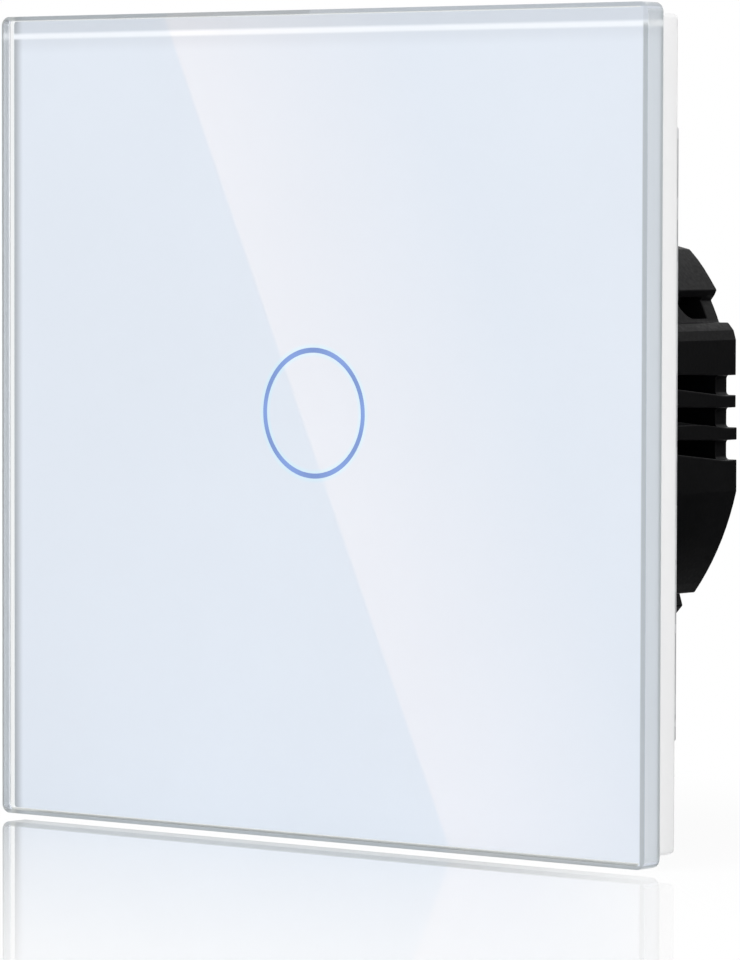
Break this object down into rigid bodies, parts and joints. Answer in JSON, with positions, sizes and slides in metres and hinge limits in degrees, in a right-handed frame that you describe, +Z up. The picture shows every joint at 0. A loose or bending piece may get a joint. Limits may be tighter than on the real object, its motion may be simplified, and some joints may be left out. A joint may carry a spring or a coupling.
{
  "type": "touch light switch",
  "caption": "Square glass-fronted touch light switch with a glowing ring, white frame, steel mounting plate and round black module for a wall box.",
  "frame": {"origin": "centre of the mounting plate's back, on the wall plane", "axes": "+X right, +Z up, -Y out of the wall towards the user"},
  "size_m": [0.086, 0.0365, 0.086],
  "materials": {
    "clear_glass": "polished",
    "white_coating": "smooth painted coat",
    "ring_light": "translucent",
    "tape": "matt adhesive foam",
    "white_plastic": "satin moulded",
    "plate_steel": "galvanised sheet",
    "spring_steel": "bright strip",
    "black_plastic": "satin moulded",
    "cover_plastic": "satin moulded",
    "screw_steel": "zinc plated",
    "guide_plastic": "milky",
    "pad_foam": "conductive foam",
    "board": "green lacquer",
    "lamp": "clear resin",
    "chip_resin": "moulded resin",
    "small_parts": "matt",
    "pin_metal": "plated",
    "ceramic_body": "glazed",
    "cap_metal": "tinned",
    "blue_coat": "dipped lacquer",
    "grey_resin": "moulded resin",
    "can_sleeve": "shrink sleeve",
    "ferrite": "pressed ferrite",
    "coil_tape": "tape over windings",
    "copper": "enamelled wire",
    "relay_plastic": "moulded case",
    "cream_plastic": "moulded",
    "soft_iron": "plated",
    "contact_metal": "rolled strip",
    "terminal_plastic": "moulded",
    "terminal_brass": "machined"
  },
  "bodies": {
    "base": {"mounting_plate": "plate_steel", "frame_clips": "spring_steel", "rear_housing": "black_plastic", "front_cover": "cover_plastic", "cover_screws": "screw_steel", "light_guide": "guide_plastic", "touch_pad": "pad_foam", "sensor_board": "board", "indicator_leds": "lamp", "touch_chip": "chip_resin", "sensor_parts": "small_parts", "header_body": "chip_resin", "header_pins": "pin_metal", "header_socket": "chip_resin", "power_board": "board", "board_screws": "screw_steel", "supply_chip": "chip_resin", "power_parts": "small_parts", "line_fuse": "ceramic_body", "fuse_caps": "cap_metal", "varistor": "blue_coat", "film_capacitor": "grey_resin", "smoothing_capacitors": "can_sleeve", "bridge_rectifier": "chip_resin", "transformer_core": "ferrite", "transformer_bobbin": "chip_resin", "transformer_winding": "coil_tape", "relay_base": "chip_resin", "relay_case": "relay_plastic", "relay_yoke": "soft_iron", "relay_bobbin": "cream_plastic", "relay_coil": "copper", "relay_contacts": "contact_metal", "terminal_block": "terminal_plastic", "terminal_bars": "terminal_brass"},
    "panel": {"glass_panel": "clear_glass", "back_print": "white_coating", "ring_window": "ring_light", "bonding_tape": "tape", "panel_frame": "white_plastic"},
    "armature": {"relay_armature": "soft_iron", "relay_spring": "contact_metal"},
    "screw_1": {"terminal_screw_1": "screw_steel"},
    "cage_1": {"terminal_cage_1": "terminal_brass"},
    "screw_2": {"terminal_screw_2": "screw_steel"},
    "cage_2": {"terminal_cage_2": "terminal_brass"},
    "screw_3": {"terminal_screw_3": "screw_steel"},
    "cage_3": {"terminal_cage_3": "terminal_brass"}
  },
  "joints": [
    {"name": "panel_pull", "type": "slide", "parent": "base", "child": "panel", "axis": [0, -1, 0], "range_m": [0, 0.02]},
    {"name": "terminal_screw_1_turn", "type": "hinge", "parent": "base", "child": "screw_1", "pos_m": [-0.0076, 0.0246, -0.01825], "axis": [0, -1, 0], "range_deg": [0, 2160]},
    {"name": "terminal_cage_1_lift", "type": "slide", "parent": "base", "child": "cage_1", "axis": [0, 1, 0], "range_m": [0, 0.003]},
    {"name": "terminal_screw_2_turn", "type": "hinge", "parent": "base", "child": "screw_2", "pos_m": [0, 0.0246, -0.01825], "axis": [0, -1, 0], "range_deg": [0, 2160]},
    {"name": "terminal_cage_2_lift", "type": "slide", "parent": "base", "child": "cage_2", "axis": [0, 1, 0], "range_m": [0, 0.003]},
    {"name": "terminal_screw_3_turn", "type": "hinge", "parent": "base", "child": "screw_3", "pos_m": [0.0076, 0.0246, -0.01825], "axis": [0, -1, 0], "range_deg": [0, 2160]},
    {"name": "terminal_cage_3_lift", "type": "slide", "parent": "base", "child": "cage_3", "axis": [0, 1, 0], "range_m": [0, 0.003]},
    {"name": "armature_tilt", "type": "hinge", "parent": "base", "child": "armature", "pos_m": [-0.0131, 0.0224, 0.0016], "axis": [-1, 0, 0], "range_deg": [0, 4], "stiffness_Nm_per_rad": 0.004, "springref_deg": -14.32}
  ],
  "couplings": [
    {"joint": "terminal_screw_1_turn", "follows": "terminal_cage_1_lift", "rad_per_m": 12566},
    {"joint": "terminal_screw_2_turn", "follows": "terminal_cage_2_lift", "rad_per_m": 12566},
    {"joint": "terminal_screw_3_turn", "follows": "terminal_cage_3_lift", "rad_per_m": 12566}
  ]
}
